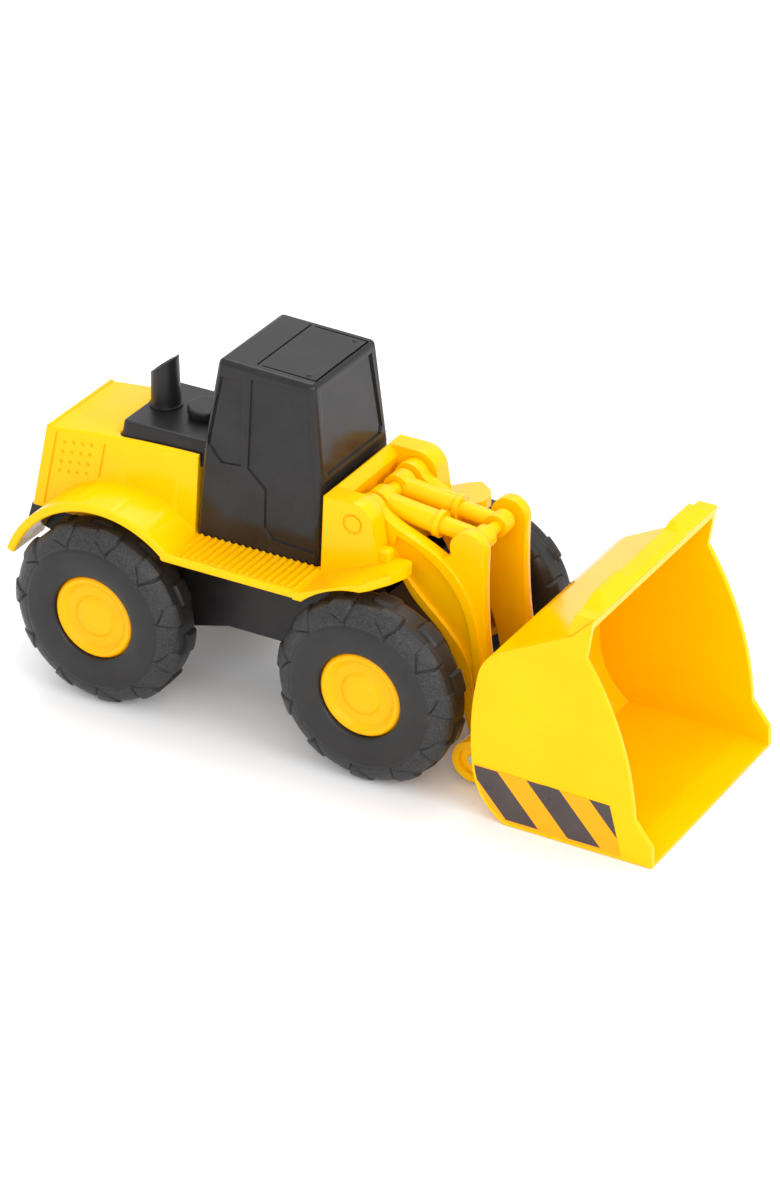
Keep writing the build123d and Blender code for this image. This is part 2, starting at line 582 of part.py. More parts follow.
def cab_windows():
    """Outlines of the recessed panels, pulled through the cab's skin."""
    rear_side = polygon((32.4, 106.6), (39.8, 107.4), (39.2, 80.0), (32.3, 79.4), (27.9, 84.6), (28.0, 86.5))
    door = polygon((42.4, 108.0), (61.2, 108.7), (63.9, 80.0), (63.6, 58.4), (49.4, 59.4), (47.2, 62.4),
                   (47.2, 74.4),
                   (41.4, 79.6))
    windshield = polygon((-14.3, 107.8), (14.3, 107.8), (16.2, 84.0), (15.2, 82.2), (-15.2, 82.2),
                         (-16.2, 84.0))
    rear_light = polygon((-14.0, 106.0), (14.0, 106.0), (15.0, 88.5), (-15.0, 88.5))
    side_pulls = both_sides(side_slab(rear_side, 10, 24)) + both_sides(side_slab(door, 10, 24))
    front_pull = cross_slab(windshield, CAB_ROOF_FRONT[0] - 4, CAB_WAIST_FRONT[0] + 3)
    rear_pull = cross_slab(rear_light, CAB_FOOT_REAR, CAB_ROOF_REAR[0] + 1)
    return [side_pulls, front_pull, rear_pull]


def roof_lines():
    """Grooves that mark the roof hatch and the joint across the roof."""
    top = CAB_ROOF_FRONT[1]
    width, low, high = 0.6, top - 1.5, CAB_ROOF_REAR[1] + 1
    left, right, hinge, front = 15.0, -15.0, 42.4, 61.4
    bars = [((hinge, right), (hinge + width, left)), ((hinge + 1.8, right), (front, right + width)),
            ((hinge + 1.8, left - width), (front, left)), ((front, right), (front + width, left))]
    outlines = [polygon((a[0], a[1]), (b[0], a[1]), (b[0], b[1]), (a[0], b[1])) for a, b in bars]
    return [plan_slab(outline, low, high) for outline in outlines]


def cab_shell():
    """Cab moulded in one piece: frame, sunk window panels and roof."""
    shell = rounded_cab()
    deeper = rounded_cab(WINDOW_DEPTH)
    skin = shell - deeper
    for pull in cab_windows():
        shell -= pull & skin
    for groove in roof_lines():
        shell -= groove & skin
    bump_radius = 0.8
    for y in (-12.8, 12.8):
        shell += Pos(58.4, y, CAB_ROOF_FRONT[1] - 0.1) * Sphere(bump_radius)
    return shell - cab_block(CAB_WALL, foot=DECK_TOP - 1)


# ---------------------------------------------------------------- engine cover and what stands on it
def engine_cover():
    """Black cover sunk in the hood, running up to the cab's rear wall."""
    slope = degrees(atan2(COVER_DRAFT, COVER_TOP - COVER_FOOT))
    gap = 0.1
    block = Pos(0, 0, COVER_FOOT) * extrude(cover_outline(gap), amount=COVER_TOP - COVER_FOOT, taper=slope)
    top_edges = [e for e in block.edges() if e.center().Z > COVER_TOP - EPS]
    block = fillet(top_edges, 1.1)
    wall = COVER_LEDGE
    depth = COVER_TOP - COVER_FOOT + 1 - wall
    hollow = Pos(0, 0, COVER_FOOT - 1) * extrude(cover_outline(wall + gap), amount=depth, taper=slope)
    lean = (CAB_WAIST_REAR[0] - CAB_FOOT_REAR) / (CAB_WAIST_REAR[1] - DECK_TOP)
    low, high = COVER_FOOT - 2, COVER_TOP + 2
    cab_line = [CAB_FOOT_REAR + (z - DECK_TOP) * lean - 2 * gap for z in (low, high)]
    cab_side = polygon((cab_line[0], low), (60, low), (60, high), (cab_line[1], high))
    front_wall = polygon((cab_line[0] - wall, low), (60, low), (60, high), (cab_line[1] - wall, high))
    hollow -= side_slab(front_wall, -30, 30)
    cover = block - hollow - side_slab(cab_side, -30, 30)
    for x, radius in ((EXHAUST_X, EXHAUST_BORE), (CAP_X, EXHAUST_BORE)):
        cover -= Pos(x, 0, COVER_TOP) * Cylinder(radius, 8)
    return cover


def exhaust_stack():
    """Hollow exhaust with a slanted mouth, plugged into the cover."""
    base = (Align.CENTER, Align.CENTER, Align.MIN)
    spigot = Pos(0, 0, COVER_TOP - EXHAUST_SOCKET) * Cylinder(EXHAUST_BORE, EXHAUST_SOCKET, align=base)
    pipe = Pos(0, 0, COVER_TOP) * Cone(EXHAUST_RADIUS + 0.3, EXHAUST_RADIUS - 0.1, 20, align=base)
    ring = Pos(0, 0, COVER_TOP) * Cylinder(EXHAUST_RADIUS + 0.8, 0.7, align=base)
    bore = Pos(0, 0, COVER_TOP + 3) * Cylinder(EXHAUST_BORE, 20, align=base)
    half = EXHAUST_RADIUS + 2
    slope = (EXHAUST_HIGH - EXHAUST_LOW) / (2 * EXHAUST_RADIUS)
    mouth_low = EXHAUST_LOW - 2 * slope
    mouth_high = EXHAUST_HIGH + 2 * slope
    above = polygon((-half, mouth_low), (half, mouth_high), (half, mouth_high + 30), (-half, mouth_high + 30))
    pipe = pipe + ring - bore - side_slab(above, -half, half)
    return Pos(EXHAUST_X, 0, 0) * (pipe + spigot)


def air_cleaner_cap():
    """Stepped round cap, plugged into the cover."""
    base = (Align.CENTER, Align.CENTER, Align.MIN)
    step = 1.1
    cap = Pos(0, 0, COVER_TOP) * Cylinder(CAP_RADIUS - 0.5, step + EPS, align=base)
    lid = Pos(0, 0, COVER_TOP + step) * Cylinder(CAP_RADIUS, CAP_HEIGHT - step, align=base)
    lid = fillet([e for e in lid.edges() if e.center().Z > COVER_TOP + CAP_HEIGHT - EPS], 0.6)
    spigot = Pos(0, 0, COVER_TOP - EXHAUST_SOCKET) * Cylinder(EXHAUST_BORE, EXHAUST_SOCKET + EPS, align=base)
    return Pos(CAP_X, 0, 0) * (cap + lid + spigot)


# ---------------------------------------------------------------- arms, pins and cylinders
def boom_outline():
    """Curved boom from the pivot eye to the bucket pin, without its eyes."""
    px, pz = PIVOT
    bx, bz = BUCKET_PIN
    upper = Spline((px + 1.5, pz + 4.4), (88.5, 70.6), (102.5, 64.2), (110.9, 54.5), (115.4, 36.0),
                   (bx + 4.4, bz + 3.4))
    lower = Spline((bx - 5.6, bz + 1.5), (107.8, 28.5), (104.4, 38.6), (93.4, 49.8), (84.5, 63.0),
                   (px - 3.0, pz - 3.6))
    return make_face([upper, Line(upper @ 1, lower @ 0), lower, Line(lower @ 1, upper @ 0)])


def horn_outline():
    """Upright horn that carries the cylinders' cross bar."""
    hx, hz = HORN_CENTRE
    r = HORN_RADIUS
    foot = (BUCKET_PIN[0] + 5.4, BUCKET_PIN[1] + 2.2)
    crown = ThreePointArc((hx - r * cos(radians(25)), hz - r * sin(radians(25))), (hx, hz + r), (hx + r, hz))
    front = Spline((hx + r, hz), (hx + r, 50.0), (hx + r + 1.3, 36.0), foot)
    back = Polyline(foot, (112.0, 36.0), (104.0, 58.0), (102.3, 64.3), crown @ 0)
    return make_face([crown, front, back])


def boom_web():
    """Outline of the recess in the boom's outer face."""
    upper = Spline((88.0, 68.2), (101.6, 61.0), (108.4, 52.6), (112.6, 36.0), (114.6, 22.0))
    lower = Spline((113.0, 21.0), (107.2, 39.8), (95.4, 51.4), (87.0, 64.2))
    return make_face([upper, Line(upper @ 1, lower @ 0), lower, Line(lower @ 1, upper @ 0)])


def loader_arm():
    """Left arm: boom with a sunk web, horn, and an eye at each pin."""
    arm = side_slab(boom_outline(), ARM_INNER_Y, BOOM_OUTER_Y)
    arm += bar_y(*PIVOT, PIVOT_EYE_RADIUS, ARM_INNER_Y, BOOM_OUTER_Y)
    arm += bar_y(*BUCKET_PIN, FOOT_EYE_RADIUS, ARM_INNER_Y, BOOM_OUTER_Y)
    arm += side_slab(horn_outline(), ARM_INNER_Y, HORN_OUTER_Y)
    arm -= side_slab(boom_web(), BOOM_OUTER_Y - WEB_DEPTH, BOOM_OUTER_Y + 1)
    arm -= bar_y(*PIVOT, PIVOT_PIN_RADIUS + PIN_CLEARANCE, 0, 30)
    arm -= bar_y(*BUCKET_PIN, BUCKET_PIN_RADIUS, 0, 30)
    arm -= bar_y(*HORN_CENTRE, HORN_BAR_RADIUS, 0, ARM_INNER_Y + 2)
    return arm


def horn_cross_bar():
    """Bar between the horns, pressed into both."""
    half = ARM_INNER_Y + 2
    return bar_y(*HORN_CENTRE, HORN_BAR_RADIUS, -half, half)


def arm_spacer_tube():
    """Tube on the bucket pin that keeps the arms' lower ends apart."""
    tube = bar_y(*BUCKET_PIN, BUCKET_PIN_RADIUS + 2.4, -ARM_INNER_Y, ARM_INNER_Y)
    return tube - bar_y(*BUCKET_PIN, BUCKET_PIN_RADIUS, -ARM_INNER_Y - 1, ARM_INNER_Y + 1)


def arm_pivot_pin():
    """Long pin through both cheeks, both arms and both cylinders."""
    half = TOWER_HALF_WIDTH - 0.1
    return bar_y(*PIVOT, PIVOT_PIN_RADIUS, -half, half)


def bucket_pin():
    """Steel pin through the arms and the bucket's ears."""
    half = EAR_OUTER_Y - EAR_RECESS_DEPTH + 0.5
    return bar_y(*BUCKET_PIN, BUCKET_PIN_RADIUS, -half, half)


def tilt_cylinder():
    """Left cylinder: eye on the arm pivot, barrel, collar, rod, and a clip on the horn bar."""
    (px, pz), (hx, hz) = PIVOT, HORN_CENTRE
    length = sqrt((hx - px) ** 2 + (hz - pz) ** 2)
    slope = degrees(atan2(hz - pz, hx - px))
    along = Pos(px, CYLINDER_Y, pz) * Rot(0, -slope, 0) * Rot(0, 90, 0)
    base = (Align.CENTER, Align.CENTER, Align.MIN)
    barrel = along * Cylinder(BARREL_RADIUS, BARREL_LENGTH, align=base)
    collar_place = along * Pos(0, 0, BARREL_LENGTH - COLLAR_WIDTH)
    collar = collar_place * Cylinder(COLLAR_RADIUS, COLLAR_WIDTH, align=base)
    rod = along * Cylinder(ROD_RADIUS, length, align=base)
    half = 2.7
    eye = bar_y(px, pz, BARREL_RADIUS + 0.7, CYLINDER_Y - half, CYLINDER_Y + half)
    clip = bar_y(hx, hz, HORN_BAR_RADIUS + 1.5, CYLINDER_Y - half, CYLINDER_Y + half)
    mouth = Pos(hx, CYLINDER_Y, hz) * Rot(0, 35, 0) * Pos(0, 0, -4) * Box(2 * HORN_BAR_RADIUS - 0.8, 8, 8)
    body = barrel + collar + rod + eye + clip
    body -= mouth
    body -= bar_y(px, pz, PIVOT_PIN_RADIUS + PIN_CLEARANCE, 0, 30)
    return body - bar_y(hx, hz, HORN_BAR_RADIUS + 0.02, 0, 30)


# ---------------------------------------------------------------- bucket
def bucket_outline(wall=0.0):
    """Side profile of the bucket's outside; with a wall, of the space inside, open at the front."""
    w = wall
    front = LIP_X if wall == 0 else LIP_X + 10
    heel = ThreePointArc((136.5 + w * 0.6, w), (129.3 + w, 6.8 + w), (126.0 + w, 17.5))
    back = ThreePointArc((126.0 + w, 17.5), (125.6 + w, 31.0), (127.6 + w, 46.5 - w * 0.5))
    brow = ThreePointArc((127.6 + w, 46.5 - w * 0.5), (129.6 + w, 51.2 - w * 0.8),
                         (134.0 + w * 0.6, 55.4 - w))
    top = Line((134.0 + w * 0.6, 55.4 - w), (156.5 + w * 0.5, 66.9 - w))
    tip = (162.9 + w * 1.1, 73.4 - w * 0.4)
    if wall:
        closing = Polyline(tip, (front, 80), (front, w), (136.5 + w * 0.6, w))
        return make_face([heel, back, brow, top, Line(top @ 1, tip), closing])
    notch, cheek_low = (161.0, 60.6), (177.2, 13.6)
    edge = ThreePointArc(notch, (171.2, 40.5), cheek_low)
    nose = Polyline(cheek_low, (182.9, 6.2), (LIP_X, 0), (136.5, 0))
    return make_face([heel, back, brow, top, Line(top @ 1, tip), Line(tip, notch), edge, nose])


def spill_guard():
    """Raised guard along the bucket's top edge, with two higher pads."""
    x, z = 162.9, 73.4
    high = 77.6
    section = polygon((154.5, 65.9), (x - 4.4, high), (x - 2.8, high), (x + 0.4, z + 0.2),
                      (x - 1.2, z - 2.2), (156.5, 65.4))
    ridge = side_slab(section, -BUCKET_HALF_WIDTH + 0.6, BUCKET_HALF_WIDTH - 0.6)
    half = [(BUCKET_HALF_WIDTH, 60.0), (BUCKET_HALF_WIDTH, z + 0.2), (34.0, z + 0.2), (29.0, high - 0.4),
            (17.0, high), (14.6, high - 2.2)]
    outline = half + [(-y, top) for y, top in reversed(half)]
    return ridge & cross_slab(polygon(*outline), 150, 170)


def bucket_ear():
    """Left hinge ear on the bucket's back, with a recess round the pin's end."""
    bx, bz = BUCKET_PIN
    root = polygon((bx, bz + EAR_RADIUS), (127.5, 19.0), (131.5, 6.0), (bx, bz - EAR_RADIUS))
    ear = side_slab(root, EAR_INNER_Y, EAR_OUTER_Y) + bar_y(bx, bz, EAR_RADIUS, EAR_INNER_Y, EAR_OUTER_Y)
    return ear - bar_y(bx, bz, EAR_RECESS_RADIUS, EAR_OUTER_Y - EAR_RECESS_DEPTH, EAR_OUTER_Y + 1)


def bucket():
    """Bucket with its side plates, spill guard and ears."""
    inner = BUCKET_HALF_WIDTH - BUCKET_SIDE_WALL
    scoop = side_slab(bucket_outline(), -BUCKET_HALF_WIDTH, BUCKET_HALF_WIDTH) + both_sides(bucket_ear())
    scoop -= side_slab(bucket_outline(BUCKET_FLOOR_WALL), -inner, inner)
    bevel = polygon((174.0, BUCKET_FLOOR_WALL), (LIP_X + 1, 0.7), (LIP_X + 1, BUCKET_FLOOR_WALL + 1),
                    (174.0, BUCKET_FLOOR_WALL + 1))
    scoop -= side_slab(bevel, -inner, inner)
    scoop += spill_guard()
    return scoop - bar_y(*BUCKET_PIN, BUCKET_PIN_RADIUS + PIN_CLEARANCE, -30, 30)


def warning_stripe():
    """Thin striped label on the left side plate."""
    label = make_face([
        ThreePointArc((137.6, 1.0), (130.4, 7.2), (126.9, 17.3)),
        Polyline((126.9, 17.3), (169.6, 16.6), (173.6, 1.0), (137.6, 1.0)),
    ])
    return side_slab(label, BUCKET_HALF_WIDTH, BUCKET_HALF_WIDTH + STRIPE_THICKNESS)


# ---------------------------------------------------------------- the whole machine
def mirrored(name, left):
    """A left piece and its right-hand twin, by node name."""
    return {f"{name}_left": left, f"{name}_right": mirror(left, about=Plane.XZ)}


def machine():
    """Every piece in its place, by node name."""
    pieces = {
        "chassis": chassis(),
        "body_shell": body_shell(),
        "cab_shell": cab_shell(),
        "engine_cover": engine_cover(),
        "exhaust_stack": exhaust_stack(),
        "air_cleaner_cap": air_cleaner_cap(),
        "chassis_screws": chassis_screws(),
        "arm_pivot_pin": arm_pivot_pin(),
        "horn_cross_bar": horn_cross_bar(),
        "arm_spacer_tube": arm_spacer_tube(),
        "bucket": bucket(),
        "bucket_pin": bucket_pin(),
    }
    pieces.update(wheel_pieces())
    pieces.update(mirrored("loader_arm", loader_arm()))
    pieces.update(mirrored("tilt_cylinder", tilt_cylinder()))
    pieces.update(mirrored("warning_stripe", warning_stripe()))
    return pieces


os.makedirs("parts", exist_ok=True)
for node, piece in machine().items():
    export_step(place(piece), f"parts/{node}.step")
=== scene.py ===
"""Toy front loader: camera, studio, materials and the moulded detail around the CAD frame."""

import json
import math

import bmesh
import bpy
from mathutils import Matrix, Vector


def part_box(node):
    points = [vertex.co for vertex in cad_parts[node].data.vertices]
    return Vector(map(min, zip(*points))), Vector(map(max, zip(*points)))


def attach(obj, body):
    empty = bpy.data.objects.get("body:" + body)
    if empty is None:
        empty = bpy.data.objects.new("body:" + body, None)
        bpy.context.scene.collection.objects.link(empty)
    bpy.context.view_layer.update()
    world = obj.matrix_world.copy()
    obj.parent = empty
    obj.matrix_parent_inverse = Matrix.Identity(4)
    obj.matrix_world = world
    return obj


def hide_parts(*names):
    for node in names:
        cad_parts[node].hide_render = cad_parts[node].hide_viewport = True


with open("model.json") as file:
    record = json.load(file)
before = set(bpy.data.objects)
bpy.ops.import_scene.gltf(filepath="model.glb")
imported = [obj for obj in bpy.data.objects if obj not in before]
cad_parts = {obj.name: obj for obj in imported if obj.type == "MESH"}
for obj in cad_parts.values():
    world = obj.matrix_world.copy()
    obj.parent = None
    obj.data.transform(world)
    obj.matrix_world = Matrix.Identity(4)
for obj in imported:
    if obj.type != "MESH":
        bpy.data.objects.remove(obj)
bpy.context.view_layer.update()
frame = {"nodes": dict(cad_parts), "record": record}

MM = 0.001

# ---------------------------------------------------------------- camera and studio
CAMERA_PLACE = (0.54836, -0.95512, 0.65711)
CAMERA_AZIMUTH = math.radians(29.711)
CAMERA_ELEVATION = math.radians(29.378)
CAMERA_SENSOR = 36.0
CAMERA_LENS = 130.67
FLOOR_SIZE = 8.0


def add_camera():
    data = bpy.data.cameras.new("camera")
    data.sensor_fit = "VERTICAL"
    data.sensor_height = CAMERA_SENSOR
    data.sensor_width = CAMERA_SENSOR
    data.lens = CAMERA_LENS
    data.clip_start = 0.05
    data.clip_end = 50.0
    camera = bpy.data.objects.new("camera", data)
    bpy.context.scene.collection.objects.link(camera)
    camera.location = CAMERA_PLACE
    camera.rotation_euler = (math.pi / 2 - CAMERA_ELEVATION, 0.0, CAMERA_AZIMUTH)
    bpy.context.scene.camera = camera


def add_area_light(name, place, target, size, power, colour=(1, 1, 1)):
    data = bpy.data.lights.new(name, "AREA")
    data.shape = "RECTANGLE"
    data.size, data.size_y = size
    data.energy = power
    data.color = colour
    light = bpy.data.objects.new(name, data)
    bpy.context.scene.collection.objects.link(light)
    light.location = place
    aim = Vector(target) - Vector(place)
    light.rotation_euler = aim.to_track_quat("-Z", "Y").to_euler()


def add_studio():
    scene = bpy.context.scene
    scene.view_settings.view_transform = "Standard"
    world = bpy.data.worlds.new("studio")
    scene.world = world
    world.use_nodes = True
    background = world.node_tree.nodes["Background"]
    background.inputs["Color"].default_value = (1.0, 1.0, 1.0, 1.0)
    background.inputs["Strength"].default_value = 1.05
    add_area_light("top_box", (-0.25, 0.5, 1.2), (0.02, 0, 0.03), (1.0, 0.8), 6.5)
    add_area_light("front_box", (0.5, -1.3, 0.9), (0.02, 0, 0.04), (1.2, 0.9), 7)
    add_area_light("bucket_box", (1.2, -0.35, 0.75), (0.08, 0, 0.03), (0.6, 0.5), 7)

    mesh = bpy.data.meshes.new("floor")
    half = FLOOR_SIZE / 2
    corners = [(-half, -half, 0), (half, -half, 0), (half, half, 0), (-half, half, 0)]
    mesh.from_pydata(corners, [], [(0, 1, 2, 3)])
    floor = bpy.data.objects.new("floor", mesh)
    scene.collection.objects.link(floor)
    floor.location.z = -0.0002
    floor.data.materials.append(floor_material())


# ---------------------------------------------------------------- materials
class Shader:
    """A small helper that builds one Principled material with procedural detail."""

    def __init__(self, name, colour, roughness, specular=0.5):
        self.material = bpy.data.materials.new(name)
        self.material.use_nodes = True
        self.tree = self.material.node_tree
        self.surface = self.tree.nodes["Principled BSDF"]
        self.surface.inputs["Base Color"].default_value = (*colour, 1)
        self.surface.inputs["Roughness"].default_value = roughness
        self.surface.inputs["Specular IOR Level"].default_value = specular
        self.place = self.node("ShaderNodeTexCoord").outputs["Object"]

    def node(self, kind, **settings):
        made = self.tree.nodes.new(kind)
        for name, value in settings.items():
            setattr(made, name, value)
        return made

    def link(self, start, end):
        self.tree.links.new(start, end)

    def noise(self, size_mm, detail=2.0, roughness=0.5, stretch=(1, 1, 1)):
        """Noise between 0 and 1 with features about size_mm across."""
        mapping = self.node("ShaderNodeMapping")
        mapping.inputs["Scale"].default_value = stretch
        self.link(self.place, mapping.inputs["Vector"])
        noise = self.node("ShaderNodeTexNoise")
        noise.inputs["Scale"].default_value = 1.0 / (size_mm * MM)
        noise.inputs["Detail"].default_value = detail
        noise.inputs["Roughness"].default_value = roughness
        self.link(mapping.outputs["Vector"], noise.inputs["Vector"])
        return noise.outputs["Fac"]

    def ranged(self, value, low, high, to_low=0.0, to_high=1.0):
        ranger = self.node("ShaderNodeMapRange")
        ranger.inputs["From Min"].default_value = low
        ranger.inputs["From Max"].default_value = high
        ranger.inputs["To Min"].default_value = to_low
        ranger.inputs["To Max"].default_value = to_high
        self.link(value, ranger.inputs["Value"])
        return ranger.outputs["Result"]

    def maths(self, operation, first, second):
        made = self.node("ShaderNodeMath", operation=operation)
        for socket, value in zip(made.inputs, (first, second)):
            if isinstance(value, (int, float)):
                socket.default_value = value
            else:
                self.link(value, socket)
        return made.outputs["Value"]

    def mix_colour(self, factor, first, second):
        mixer = self.node("ShaderNodeMix", data_type="RGBA")
        sockets = [mixer.inputs[6], mixer.inputs[7]]
        self.link(factor, mixer.inputs[0])
        for socket, value in zip(sockets, (first, second)):
            if isinstance(value, tuple):
                socket.default_value = (*value, 1)
            else:
                self.link(value, socket)
        return mixer.outputs[2]

    def colour(self, value):
        self.link(value, self.surface.inputs["Base Color"])

    def roughness(self, value):
        self.link(value, self.surface.inputs["Roughness"])

    def bump(self, height, depth_mm, strength=1.0, edge_mm=0.0):
        bumper = self.node("ShaderNodeBump")
        bumper.inputs["Strength"].default_value = strength
        bumper.inputs["Distance"].default_value = depth_mm * MM
        self.link(height, bumper.inputs["Height"])
        if edge_mm:
            edge = self.node("ShaderNodeBevel", samples=4)
            edge.inputs["Radius"].default_value = edge_mm * MM
            self.link(edge.outputs["Normal"], bumper.inputs["Normal"])
        self.link(bumper.outputs["Normal"], self.surface.inputs["Normal"])


def floor_material():
    shade = Shader("floor_paper", (0.93, 0.93, 0.93), 0.6, specular=0.2)
    paper = shade.noise(900, 3)
    shade.colour(shade.mix_colour(paper, (0.92, 0.92, 0.93), (0.95, 0.95, 0.95)))
    return shade.material


def yellow_plastic(name, gloss=0.16, deep=(1.0, 0.49, 0.0), bright=(1.0, 0.54, 0.0)):
    """Moulded yellow plastic: a little flow variation, faint ripple and fine scuffs in its gloss."""
    shade = Shader(name, bright, gloss, specular=0.16)
    flow = shade.noise(38, 3, 0.55, (1, 1, 1.6))
    shade.colour(shade.mix_colour(shade.ranged(flow, 0.3, 0.7), deep, bright))
    scuff = shade.noise(2.2, 6, 0.75, (1, 1, 2.5))
    shade.roughness(shade.ranged(scuff, 0.52, 0.72, gloss, gloss + 0.16))
    ripple = shade.noise(9, 2)
    fine = shade.noise(0.5, 2)
    shade.bump(shade.maths("ADD", ripple, shade.maths("MULTIPLY", fine, 0.06)), 0.05, edge_mm=0.55)
    surface = shade.surface.inputs
    surface["Subsurface Weight"].default_value = 0.15
    surface["Subsurface Radius"].default_value = (1.0, 0.45, 0.03)
    surface["Subsurface Scale"].default_value = 1.2 * MM
    return shade.material


LABEL_ORANGE = (1.0, 0.37, 0.0)
LABEL_MARGIN = 0.9


def label_film(name, stripe_slope=0.89, pitch_mm=19.6, dark_share=0.53, first_mm=16.2):
    """Printed label: orange film with slanting dark bars, kept inside a narrow margin."""
    shade = Shader(name, LABEL_ORANGE, 0.3, specular=0.25)
    low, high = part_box("warning_stripe_left")
    split = shade.node("ShaderNodeSeparateXYZ")
    shade.link(shade.place, split.inputs["Vector"])
    along, up = split.outputs["X"], split.outputs["Z"]
    lean = shade.maths("MULTIPLY", shade.maths("SUBTRACT", up, high.z), stripe_slope)
    slid = shade.maths("ADD", shade.maths("SUBTRACT", along, low.x), lean)
    turns = shade.maths("DIVIDE", shade.maths("SUBTRACT", slid, first_mm * MM), pitch_mm * MM)
    bar = shade.maths("LESS_THAN", shade.maths("FRACT", turns, 0.0), dark_share)
    margin = LABEL_MARGIN * MM
    above = shade.maths("GREATER_THAN", up, low.z + margin)
    below = shade.maths("LESS_THAN", up, high.z - margin * 0.4)
    ahead = shade.maths("LESS_THAN", along, high.x - margin)
    ink = shade.maths("MULTIPLY", shade.maths("MULTIPLY", bar, above), shade.maths("MULTIPLY", below, ahead))
    fade = shade.noise(6, 5, 0.6)
    dark = shade.mix_colour(shade.ranged(fade, 0.3, 0.7), (0.055, 0.045, 0.045), (0.075, 0.06, 0.058))
    shade.colour(shade.mix_colour(ink, LABEL_ORANGE, dark))
    shade.roughness(shade.ranged(fade, 0.3, 0.7, 0.26, 0.36))
    shade.bump(ink, 0.03)
    return shade.material


def black_plastic(name, gloss, grain_size, grain_depth, colour=(0.018, 0.017, 0.017), dust=0.35):
    """Moulded black plastic: fine mould grain, dusty film and small pale scuffs."""
    shade = Shader(name, colour, gloss, specular=0.3)
    film = shade.noise(14, 4, 0.6)
    paler = tuple(min(1.0, c * (1 + dust) + 0.004) for c in colour)
    base = shade.mix_colour(shade.ranged(film, 0.35, 0.75), colour, paler)
    fleck = shade.noise(0.9, 5, 0.8)
    specks = shade.ranged(fleck, 0.735, 0.77)
    shade.colour(shade.mix_colour(specks, base, (0.12, 0.115, 0.11)))
    haze = shade.noise(5, 5, 0.7)
    shade.roughness(shade.ranged(haze, 0.35, 0.7, gloss - 0.04, gloss + 0.10))
    grain = shade.noise(grain_size, 2, 0.5)
    shade.bump(grain, grain_depth, edge_mm=0.4)
    return shade.material


def steel_wire(name):
    shade = Shader(name, (0.56, 0.56, 0.57), 0.3)
    shade.surface.inputs["Metallic"].default_value = 1.0
    drawn = shade.noise(0.4, 3, 0.6, (1, 0.05, 1))
    shade.roughness(shade.ranged(drawn, 0.3, 0.7, 0.22, 0.42))
    shade.bump(drawn, 0.01)
    return shade.material


def tyre_rubber(name):
    """Soft black plastic: smooth sidewall, and a coarse mould grain where the tyre's grain value says so,
    with pale specks painted on that grain as glints.
    """
    shade = Shader(name, (0.014, 0.0135, 0.0135), 0.42, specular=0.35)
    grained = shade.node("ShaderNodeAttribute", attribute_name="grain").outputs["Fac"]
    coarse = shade.noise(0.45, 2, 0.6)
    # Pale grey specks on the grained band are painted glints of light on the grain; the grain relief itself
    # comes from the bump further down.
    painted_grain_glint = shade.maths("MULTIPLY", shade.ranged(coarse, 0.44, 0.62), grained)
    film = shade.noise(12, 4, 0.6)
    base = shade.mix_colour(shade.ranged(film, 0.35, 0.75), (0.013, 0.0125, 0.0125), (0.020, 0.019, 0.019))
    shade.colour(shade.mix_colour(painted_grain_glint, base, (0.036, 0.037, 0.040)))
    fine = shade.noise(0.3, 2)
    shade.roughness(shade.ranged(shade.noise(4, 5, 0.7), 0.35, 0.7, 0.34, 0.5))
    relief = shade.maths("ADD", shade.maths("MULTIPLY", fine, 0.12), shade.maths("MULTIPLY", coarse, grained))
    shade.bump(relief, 0.16)
    return shade.material


def all_materials():
    return {
        "yellow_body": yellow_plastic("yellow_body", 0.17),
        "yellow_arm": yellow_plastic("yellow_arm", 0.19),
        "yellow_bucket": yellow_plastic("yellow_bucket", 0.13),
        "yellow_hub": yellow_plastic("yellow_hub", 0.30, (0.98, 0.42, 0.0), (1.0, 0.45, 0.0)),
        "black_cab": black_plastic("black_cab", 0.17, 0.6, 0.003, (0.012, 0.011, 0.011)),
        "black_cover": black_plastic("black_cover", 0.34, 0.35, 0.012, (0.013, 0.012, 0.012)),
        "black_chassis": black_plastic("black_chassis", 0.38, 0.4, 0.015, (0.010, 0.009, 0.009)),
        "tyre_plastic": tyre_rubber("tyre_plastic"),
        "steel": steel_wire("steel"),
        "label": label_film("label"),
    }


def paint_nodes(materials):
    slots = {entry["node"]: entry["material_slot"] for entry in frame["record"]["subparts"]}
    for name, node in frame["nodes"].items():
        node.data.materials.clear()
        node.data.materials.append(materials[slots[name]])


SOFT_EDGES = {
    "cab_shell": 0.45,
    "body_shell": 0.35,
    "bucket": 0.35,
    "engine_cover": 0.35,
    "loader_arm_left": 0.3,
    "loader_arm_right": 0.3,
    "exhaust_stack": 0.2,
    "air_cleaner_cap": 0.3,
}


def soften_edges(name, width_mm, angle=28, segments=2):
    """Rounds a moulding's edges a little, as they come out of the mould."""
    node = frame["nodes"][name]
    weld = node.modifiers.new("weld", "WELD")
    weld.merge_threshold = 0.004 * MM
    bevel = node.modifiers.new("edge", "BEVEL")
    bevel.width = width_mm * MM
    bevel.segments = segments
    bevel.limit_method = "ANGLE"
    bevel.angle_limit = math.radians(angle)
    bevel.harden_normals = True


# ---------------------------------------------------------------- tyres
TYRE_RADIUS = 29.0
LUG_COUNT = 11
TYRE_STEPS = 704
LUG_HEIGHT = 0.8
LUG_TIP_RADIUS = 23.0
LUG_LEAD = 16.0
LUG_TRAIL = 4.0
LUG_RUN = 5.6          # distance from the tip to where a lug has its full width
GROOVE_HALF_WIDTH = 0.42
GROOVE_DEPTH = 0.55
LUG_SIDE_SLANT = 0.75
TREAD_START_RADIUS = 22.0
TYRE_PHASE = {"rear": 11.0, "front": 3.0}


def refined(points, longest):
    """The same line with extra points, so that no run is longer than longest."""
    fine = [points[0]]
    for start, end in zip(points, points[1:]):
        pieces = max(1, math.ceil(math.dist(start, end) / longest))
        for i in range(1, pieces + 1):
            share = i / pieces
            fine.append(tuple(a + (b - a) * share for a, b in zip(start, end)))
    return fine


